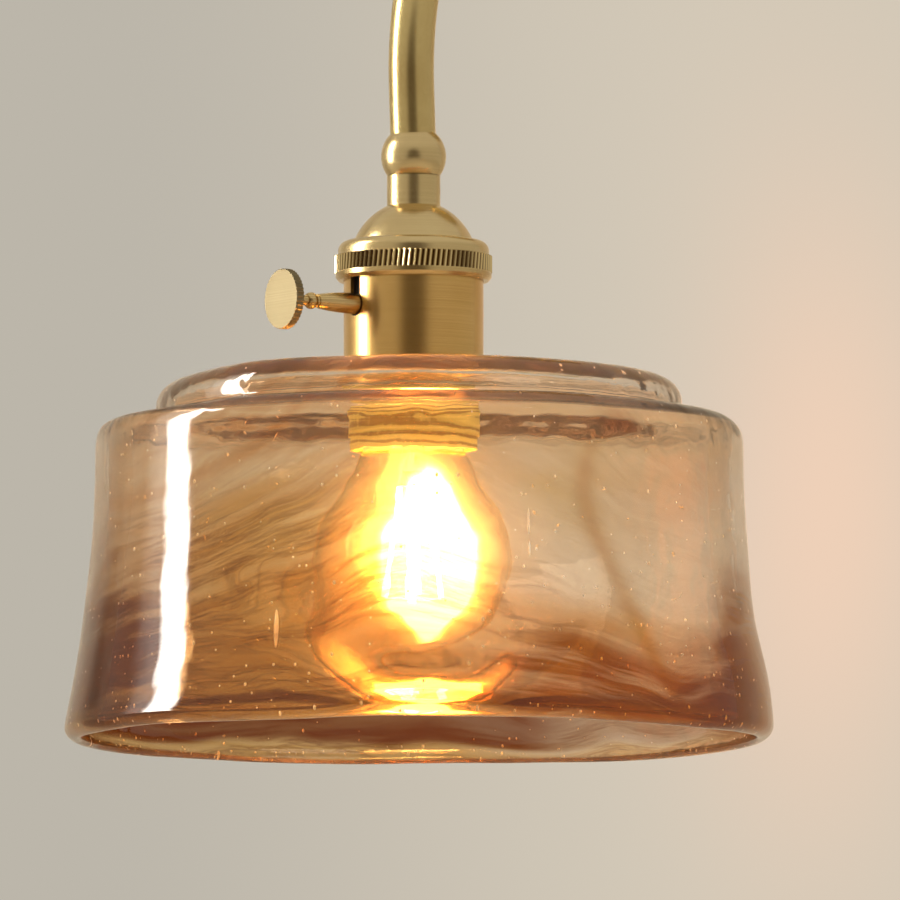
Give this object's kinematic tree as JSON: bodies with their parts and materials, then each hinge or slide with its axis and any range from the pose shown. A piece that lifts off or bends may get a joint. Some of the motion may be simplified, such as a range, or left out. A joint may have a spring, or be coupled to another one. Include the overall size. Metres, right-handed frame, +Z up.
{
  "type": "wall sconce",
  "caption": "Wall sconce: bent brass arm on a round wall plate, ball swivel, key-switched lampholder and a stepped, flared blown-glass shade round a lit bulb.",
  "frame": {"origin": "centre of the wall plate's rim, on the wall", "axes": "+Z up, +Y into the wall, +X to the right as seen from the room"},
  "size_m": [0.2149, 0.2492, 0.3637],
  "materials": {
    "satin_brass": "satin, lengthwise brushed and lacquered",
    "turned_brass": "turned on a lathe, satin",
    "shell_brass": "drawn tube, satin lacquered",
    "knurled_brass": "knurled, bright on the crests",
    "key_brass": "turned and faced, satin",
    "plain_brass": "as machined",
    "spring_bronze": "rolled strip",
    "zinc_steel": "zinc plated",
    "tinned_copper": "tin plated",
    "earth_insulation": "green and yellow PVC",
    "live_insulation": "brown PVC",
    "neutral_insulation": "blue PVC",
    "white_nylon": "moulded",
    "fibre_liner": "dark vulcanised fibre",
    "black_phenolic": "moulded",
    "glazed_porcelain": "white glaze",
    "silicone_rubber": "translucent grey",
    "amber_glass": "hand blown, clear with amber and brown swirls",
    "bulb_clear_glass": "clear, fire polished",
    "bulb_stem_glass": "clear, pressed",
    "nickel_cap": "nickel plated",
    "black_glass": "vitrite",
    "lit_filament": "lit phosphor coat",
    "filament_wire": "drawn"
  },
  "bodies": {
    "wall_mount": {"wall_plate": "satin_brass", "mounting_bracket": "zinc_steel", "canopy_studs": "zinc_steel", "dome_nuts": "turned_brass", "arm_collar": "turned_brass", "arm_tube": "satin_brass", "arm_nipple": "plain_brass", "lock_washer": "zinc_steel", "lock_nut": "plain_brass", "earth_tags": "tinned_copper", "earth_lead": "earth_insulation", "earth_screw": "zinc_steel", "terminal_block": "white_nylon", "block_screws": "zinc_steel", "live_lead": "live_insulation", "neutral_lead": "neutral_insulation", "ball_housing": "turned_brass"},
    "swivel": {"swivel_stem": "turned_brass", "neck_sleeve": "turned_brass", "neck_grub_screw": "zinc_steel", "stem_washer": "zinc_steel", "stem_nut": "plain_brass"},
    "head": {"socket_cap": "satin_brass", "knurled_ring": "knurled_brass", "socket_shell": "shell_brass", "insulating_liner": "fibre_liner", "switch_housing": "black_phenolic", "socket_body": "glazed_porcelain", "screw_shell": "plain_brass", "centre_contact": "spring_bronze", "terminal_screws": "plain_brass", "insert_screws": "zinc_steel", "live_tail": "live_insulation", "neutral_tail": "neutral_insulation", "upper_gasket": "silicone_rubber", "lower_gasket": "silicone_rubber", "shade_ring": "plain_brass", "glass_shade": "amber_glass", "bulb_glass": "bulb_clear_glass", "bulb_cap": "nickel_cap", "bulb_insulator": "black_glass", "bulb_contact": "nickel_cap", "bulb_stem": "bulb_stem_glass", "bulb_filaments": "lit_filament", "filament_wires": "filament_wire"},
    "key": {"key_disc": "key_brass", "key_stem": "key_brass", "switch_spindle": "plain_brass", "switch_rotor": "black_phenolic"}
  },
  "joints": [
    {"name": "ball_tilt", "type": "hinge", "parent": "wall_mount", "child": "swivel", "pos_m": [0, -0.14171, -0.1251], "axis": [1, 0, 0], "range_deg": [-14, 9]},
    {"name": "head_turn", "type": "hinge", "parent": "swivel", "child": "head", "pos_m": [0, -0.14171, -0.1251], "axis": [0, 0, 1], "range_deg": [-170, 170]},
    {"name": "key_turn", "type": "hinge", "parent": "head", "child": "key", "pos_m": [-0.01104, -0.16961, -0.1717], "axis": [-0.3681, -0.9298, 0], "continuous": true}
  ]
}
